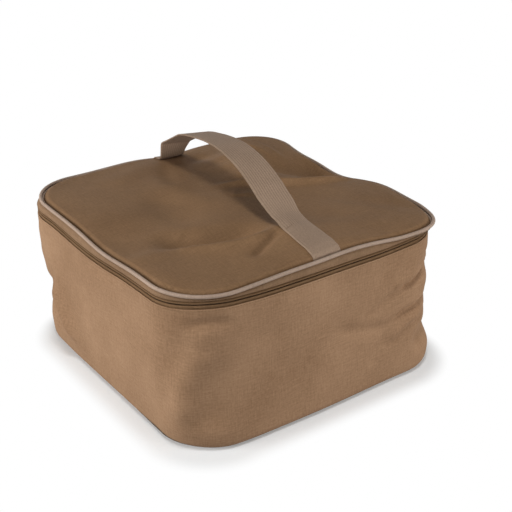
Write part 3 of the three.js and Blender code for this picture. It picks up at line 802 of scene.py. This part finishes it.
x, y, m, s = roundGrid(lid["liningEdge"], lid["under"])
z = lid["liningTop"] - lid["liningDrop"] * (1 - smooth(lid["dropFrom"], 1, m))
lidLining = bentGrid("lidLining", lidPlace(x, y, m, s, lid["liningEdge"], z), np.stack([x, y], -1))
thicken(lidLining, lid["lining"])
dress(lidLining, "lid", liningCloth, "lining", "lid_lining")

piping = {
    "inset": -.0007, "radius": .0016, "cloth": .0006, "sides": 18, "step": .0036, "allowance": .1689,
    "cord": .0012, "cordSides": 13, "cordStep": .005,
}


def pipingCircle(radius, turns):
    return [(piping["inset"] + radius * math.cos(t), bag["piping"] + radius * math.sin(t)) for t in turns]


turns = np.radians(np.linspace(-118, 205, piping["sides"]))
allowance = [(out, piping["allowance"]) for out in (-.0088, -.0060, -.0034)]
pipingLine = [*allowance, *pipingCircle(piping["radius"], turns)]
pipingLoop = thickLine(pipingLine, piping["cloth"], 2)
pipingPiece = sweep("lidPiping", pipingLoop, lapPlaces(piping["step"]), ring=True)
dress(pipingPiece, "lid", pipingCloth, "piping", "lid_piping")
cordLoop = pipingCircle(piping["cord"], np.linspace(0, 2 * math.pi, piping["cordSides"]))
pipingCord = sweep("lidPipingCord", cordLoop, lapPlaces(piping["cordStep"]), ring=True)
dress(pipingCord, "lid", cordFinish, "board", "lid_piping_cord")
print("lid made")


handle = {
    "width": .0330, "thickness": .0018, "edgeRound": .0008, "edgeThin": .55,
    "ribs": 13, "ribDepth": .00014, "ribPower": .6, "ribMean": .6, "pointsPerRib": 5,
    "edge": .1672, "right": .1165, "step": .0020,
    "rightShift": -.0045, "leftShift": .0130,            # where its ends are sewn, along y
    "skew": .0058, "skewFrom": .004, "skewTo": .030,     # the raised part twists askew
    "liesUpTo": .001, "freeFrom": .045,                  # heights between which it leaves the lid
    "rowSlant": .0032, "pinch": .0005, "pinchSpread": .0016, "stitchProud": .00042, "stitchInset": .0018,
}
# Side view of the strap's middle: x, and height above the lid
handleLine = [
    (.1672, .0012), (.1400, .0012), (.1165, .0012), (.1060, .0034), (.0950, .0092), (.0780, .0262),
    (.0590, .0412), (.0430, .0493), (.0340, .0529), (.0195, .0575), (.0000, .0613), (-.0150, .0625),
    (-.0350, .0620), (-.0520, .0601), (-.0800, .0555), (-.0945, .0515), (-.1150, .0402), (-.1370, .0270),
    (-.1440, .0120), (-.1480, .0012), (-.1672, .0012),
]
lidTree = BVHTree.FromObject(lidPiece, bpy.context.evaluated_depsgraph_get())


def lidLevel(x, y):
    hit = lidTree.ray_cast(Vector((x, y, .5)), Vector((0, 0, -1)))[0]
    return hit.z if hit else bag["lidTop"] - .001


def handleMiddle():     # evenly spaced, with its bends rounded
    line = np.array(handleLine)
    far = lengthAlong(line)
    even = np.linspace(0, far[-1], round(far[-1] / handle["step"]) + 1)
    line = np.stack([np.interp(even, far, line[:, 0]), np.interp(even, far, line[:, 1])], 1)
    for _ in range(4):
        line[1:-1] = (line[:-2] + line[1:-1] * 2 + line[2:]) / 4
    return line


def strapCentre(x):     # the strap runs a little askew
    share = (handle["edge"] - x) / (2 * handle["edge"])
    return handle["rightShift"] + (handle["leftShift"] - handle["rightShift"]) * share


half = handle["width"] / 2


def stitchRow(across):     # where the row that ends the sewn stretch crosses the strap
    return handle["right"] - handle["rowSlant"] * (across / half + 1)


def strapPoints(line, across, off):     # places across the strap, lifted off its middle line
    along = np.gradient(line, axis=0)
    along /= np.linalg.norm(along, axis=1)[:, None]
    centre = strapCentre(line[:, 0])
    raised = smooth(handle["skewFrom"], handle["skewTo"], line[:, 1])[None, :]
    askew = handle["skew"] * across[:, None] / half * raised
    x = line[None, :, 0] + along[None, :, 1] * off[:, None] + askew
    y = centre[None, :] + across[:, None]
    up = line[None, :, 1] - along[None, :, 0] * off[:, None]
    row = line[None, :, 0] - stitchRow(across)[:, None]
    up = up - handle["pinch"] * np.exp(-(row / handle["pinchSpread"]) ** 2)
    places = np.linspace(-half, half, 5)
    ground = np.array([[lidLevel(a, b) for a, b in zip(line[:, 0], centre + c)] for c in places])
    ground = np.array([np.interp(across, places, level) for level in ground.T]).T
    near = 1 - smooth(handle["liesUpTo"], handle["freeFrom"], line[:, 1])[None, :]
    return np.stack([x, y, bag["lidTop"] + up + (ground - bag["lidTop"]) * near], -1)


line = handleMiddle()
count = handle["ribs"] * handle["pointsPerRib"] + 1
across = np.linspace(-half, half, count)
ribTurn = math.pi * handle["ribs"] * (across + half) / handle["width"]
rib = handle["ribDepth"] * (np.abs(np.sin(ribTurn)) ** handle["ribPower"] - handle["ribMean"])
edgeEase = smooth(0, handle["edgeRound"], half - np.abs(across))
edgeShare = handle["edgeThin"] + (1 - handle["edgeThin"]) * edgeEase
topFace = handle["thickness"] / 2 * edgeShare + rib * edgeEase
acrossLoop = np.concatenate([across, across[::-1], across[:1]])
offLoop = np.concatenate([topFace, -topFace[::-1], topFace[:1]])
points = strapPoints(line, acrossLoop, offLoop)
uv = np.stack(np.broadcast_arrays(lengthAlong(line)[None, :], acrossLoop[:, None] + half), -1)
strap = bentGrid("handleStrap", points, uv)
weld(strap, capped=True)
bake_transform(strap)
dress(strap, None, webbing, "webbing", "handle_end_right", "handle_strap", "handle_end_left")

# the row of stitches that ends the sewn stretch
cross = np.linspace(-half + handle["stitchInset"], half - handle["stitchInset"], 30)
crossX = stitchRow(cross)
proud = handle["thickness"] + handle["stitchProud"] - handle["pinch"] / 2
path = np.array([(a, c, lidLevel(a, c) + proud) for a, c in zip(crossX, strapCentre(crossX) + cross)])
up = np.tile([0, 0, 1.], (len(path), 1))
strapCross = stitches("handleCrossStitch", path, up, pitch=.0030, length=.0024, width=.0006)
dress(strapCross, "lid", threadFinish, "webbing")
print("handle made")

slider = {"weld": 1e-5, "flat": 2, "ease": .00018}     # flat is in degrees
for name in ("front", "rear"):
    for node, part, body in (("zip_slider_", "Slider", "slider_"), ("pull_tab_", "PullTab", "pull_")):
        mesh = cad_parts[node + name].data.copy()
        piece = addObject(name + part, mesh)
        bm = bmesh.new()
        bm.from_mesh(mesh)
        bmesh.ops.remove_doubles(bm, verts=bm.verts, dist=slider["weld"])
        bmesh.ops.dissolve_limit(
            bm, angle_limit=math.radians(slider["flat"]), verts=bm.verts, edges=bm.edges,
        )
        bm.to_mesh(mesh)
        bm.free()
        eased = piece.modifiers.new("easedEdges", "BEVEL")
        eased.width = slider["ease"]
        eased.segments = 2
        eased.limit_method = "ANGLE"
        dress(piece, body + name, metalFinish, "slider", node + name)
print("sliders made")


stage = {
    "floor": 6., "ambient": .10, "glow": .15,
    "floorColour": (.785, .805, .812, 1),
    "bounce": (.33, .33, .33, 1),     # the floor's colour for bounced light
    "shadowEnds": .025, "shadowShift": (-.010, .003),
}


def seenDirectly(tree):     # 1 for what the camera sees, in a mirror too, and 0 for bounced light
    rays = addNode(tree, "ShaderNodeLightPath").outputs
    mirrored = mathNode(tree, "MAXIMUM", rays["Is Glossy Ray"], rays["Is Transmission Ray"])
    return mathNode(tree, "MAXIMUM", rays["Is Camera Ray"], mirrored)


bm = bmesh.new()
bmesh.ops.create_grid(bm, x_segments=1, y_segments=1, size=stage["floor"])
floor = newPiece("floor", bm)
floorFinish = bpy.data.materials.new("paleFloor")
floorFinish.use_nodes = True
tree = floorFinish.node_tree
tree.nodes.clear()
seen = seenDirectly(tree)
matt = addNode(tree, "ShaderNodeBsdfDiffuse", {"Color": stage["floorColour"]})
dull = addNode(tree, "ShaderNodeBsdfDiffuse", {"Color": stage["bounce"]})
glow = addNode(tree, "ShaderNodeEmission", {"Strength": stage["glow"]})
near = addNode(tree, "ShaderNodeAddShader", {0: matt.outputs[0], 1: glow.outputs[0]})
far = addNode(tree, "ShaderNodeEmission", {"Strength": 1.})
# the shadow fades to plain white over a stretch round the foot of the bag
spot = addNode(tree, "ShaderNodeSeparateXYZ", {0: clothCoords(tree, True)}).outputs
spotX, spotY = [
    mathNode(tree, "ABSOLUTE", mathNode(tree, "ADD", spot[axis], shift))
    for axis, shift in zip("XY", stage["shadowShift"])
]
spotX, spotY = [
    mathNode(tree, "MAXIMUM", mathNode(tree, "SUBTRACT", spotted, flat), 0.) for spotted in (spotX, spotY)
]
squares = mathNode(tree, "MULTIPLY_ADD", spotX, spotX, mathNode(tree, "MULTIPLY", spotY, spotY))
reach = mathNode(tree, "SQRT", squares)     # from the centre of the corner's round
away = addNode(
    tree, "ShaderNodeMapRange",
    {"Value": reach, "From Min": bag["corner"], "From Max": bag["corner"] + stage["shadowEnds"]},
    interpolation_type="SMOOTHSTEP",
).outputs[0]
shown = addNode(tree, "ShaderNodeMixShader", {0: away, 1: near.outputs[0], 2: far.outputs[0]})
both = addNode(tree, "ShaderNodeMixShader", {0: seen, 1: dull.outputs[0], 2: shown.outputs[0]})
addNode(tree, "ShaderNodeOutputMaterial", {"Surface": both.outputs[0]})
floor.data.materials.append(floorFinish)

world = bpy.data.worlds.new("studio")
bpy.context.scene.world = world
world.use_nodes = True
tree = world.node_tree
seen = seenDirectly(tree)
strength = mathNode(tree, "MULTIPLY_ADD", seen, 1 - stage["ambient"], stage["ambient"])
tree.links.new(strength, tree.nodes["Background"].inputs["Strength"])
tree.nodes["Background"].inputs["Color"].default_value = (1, 1, 1, 1)


def standingAt(target, azimuth, elevation, distance):     # faces the target from there; in degrees
    a, e = math.radians(azimuth), math.radians(elevation)
    away = Vector((math.sin(a) * math.cos(e), -math.cos(a) * math.cos(e), math.sin(e)))
    facing = away.to_track_quat("Z", "Y").to_matrix().to_4x4()
    return Matrix.Translation(Vector(target) + away * distance) @ facing


lampTarget = (0, 0, .1)
# azimuth, elevation, distance, width, height, watts
lamps = {
    "leftBox": (-9, 11, 1.5, .9, .6, 20),
    "rightBox": (116, 7, 1.25, .7, .4, 9.0),
    "overhead": (58, 70, 2.0, .45, .45, 14.6),
}
for name, (azimuth, elevation, distance, width, height, watts) in lamps.items():
    light = bpy.data.lights.new(name, "AREA")
    light.shape = "RECTANGLE"
    light.size, light.size_y = width, height
    light.energy = watts
    addObject(name, light).matrix_world = standingAt(lampTarget, azimuth, elevation, distance)

view = {
    "azimuth": 54.46, "elevation": 26.1, "distance": 1.1794, "target": (-.0428, .0607, .0726),
    "lens": 69.51, "sensor": 36, "near": .05, "far": 50,
}
optics = bpy.data.cameras.new("camera")
optics.lens = view["lens"]
optics.sensor_width = view["sensor"]
optics.clip_start, optics.clip_end = view["near"], view["far"]
camera = addObject("camera", optics)
camera.matrix_world = standingAt(view["target"], view["azimuth"], view["elevation"], view["distance"])
bpy.context.scene.camera = camera
bpy.context.scene.view_settings.view_transform = "Standard"

bpy.context.view_layer.update()
print("stage, light and camera set")
